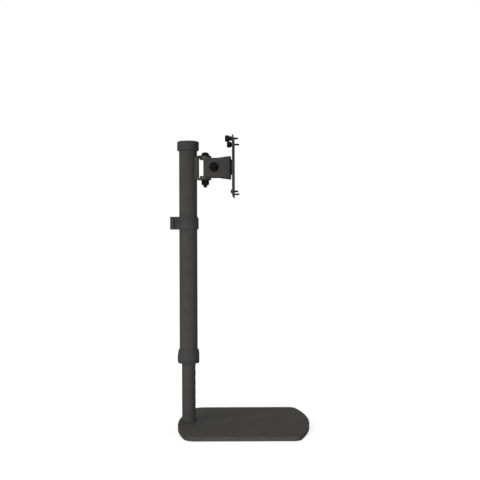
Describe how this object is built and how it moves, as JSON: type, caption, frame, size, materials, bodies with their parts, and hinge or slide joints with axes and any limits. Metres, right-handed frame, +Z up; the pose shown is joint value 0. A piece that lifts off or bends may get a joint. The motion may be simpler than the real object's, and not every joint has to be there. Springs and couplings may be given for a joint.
{
  "type": "monitor stand",
  "caption": "Desk stand for a flat screen: bowed flat base plate, telescopic round pole with push-button height lock, cable clip, and a swivelling and tilting head with a square mounting plate.",
  "frame": {"origin": "point on the floor under the pole's axis, on the underside of the pad below the pole", "axes": "+Z up along the pole, +X towards the monitor's side, +Y across the stand"},
  "size_m": [0.2689, 0.266, 0.5615],
  "materials": {
    "powder_coat": "matt black powder coat on steel",
    "moulding": "black moulded plastic",
    "rubber": "black rubber",
    "black_steel": "black zinc plated steel",
    "bright_steel": "bright steel",
    "nylon": "natural nylon"
  },
  "bodies": {
    "base": {"base_plate": "powder_coat", "pad_pole": "rubber", "pad_front_near": "rubber", "pad_front_far": "rubber", "pad_rear_near": "rubber", "pad_rear_far": "rubber", "foot_plug": "bright_steel", "foot_screw_1": "black_steel", "foot_screw_2": "black_steel", "foot_screw_3": "black_steel", "inner_tube": "powder_coat", "guide_bush": "nylon"},
    "column": {"outer_tube": "powder_coat", "top_cap": "moulding", "collar": "moulding", "collar_ring": "moulding", "collar_screw_near": "black_steel", "collar_screw_far": "black_steel", "grub_screw": "black_steel", "lock_spring": "bright_steel", "clevis_bracket": "powder_coat", "swivel_bolt": "black_steel", "swivel_nut": "black_steel", "swivel_washer_top": "black_steel", "swivel_washer_bottom": "black_steel"},
    "lock": {"lock_slide": "moulding"},
    "clip": {"cable_clip": "moulding"},
    "swivel": {"swivel_knuckle": "powder_coat", "nylon_washer_top": "nylon", "nylon_washer_bottom": "nylon", "tilt_spacer": "bright_steel", "tilt_nylon_near": "nylon", "tilt_nylon_far": "nylon"},
    "tilt": {"tilt_yoke": "powder_coat", "tilt_bolt": "black_steel", "tilt_nut": "black_steel", "tilt_washer_near": "black_steel", "tilt_washer_far": "black_steel", "turning_disc": "moulding", "pivot_bolt": "black_steel", "pivot_washer": "black_steel", "pivot_nut": "black_steel"},
    "plate": {"mounting_plate": "powder_coat", "lower_screw_near": "black_steel", "lower_screw_far": "black_steel"},
    "thumb_near": {"thumb_screw_near": "black_steel"},
    "thumb_far": {"thumb_screw_far": "black_steel"}
  },
  "joints": [
    {"name": "height_slide", "type": "slide", "parent": "base", "child": "column", "axis": [0, 0, 1], "range_m": [-0.0925, 0.1295]},
    {"name": "lock_button", "type": "slide", "parent": "column", "child": "lock", "axis": [1, 0, 0], "range_m": [0, 0.0022], "stiffness_N_per_m": 1500, "springref_m": -0.002, "deforming": ["lock_spring"]},
    {"name": "clip_slide", "type": "slide", "parent": "column", "child": "clip", "axis": [0, 0, 1], "range_m": [-0.225, 0.07]},
    {"name": "head_swivel", "type": "hinge", "parent": "column", "child": "swivel", "pos_m": [0.0335, 0, 0.50215], "axis": [0, 0, 1], "range_deg": [-35, 35]},
    {"name": "head_tilt", "type": "hinge", "parent": "swivel", "child": "tilt", "pos_m": [0.0514, 0, 0.50215], "axis": [0, 1, 0], "range_deg": [-25, 25]},
    {"name": "plate_turn", "type": "hinge", "parent": "tilt", "child": "plate", "pos_m": [0.0871, 0, 0.5035], "axis": [1, 0, 0], "continuous": true},
    {"name": "thumb_near_turn", "type": "hinge", "parent": "plate", "child": "thumb_near", "pos_m": [0.0871, -0.05, 0.5535], "axis": [1, 0, 0], "continuous": true},
    {"name": "thumb_far_turn", "type": "hinge", "parent": "plate", "child": "thumb_far", "pos_m": [0.0871, 0.05, 0.5535], "axis": [1, 0, 0], "continuous": true}
  ]
}
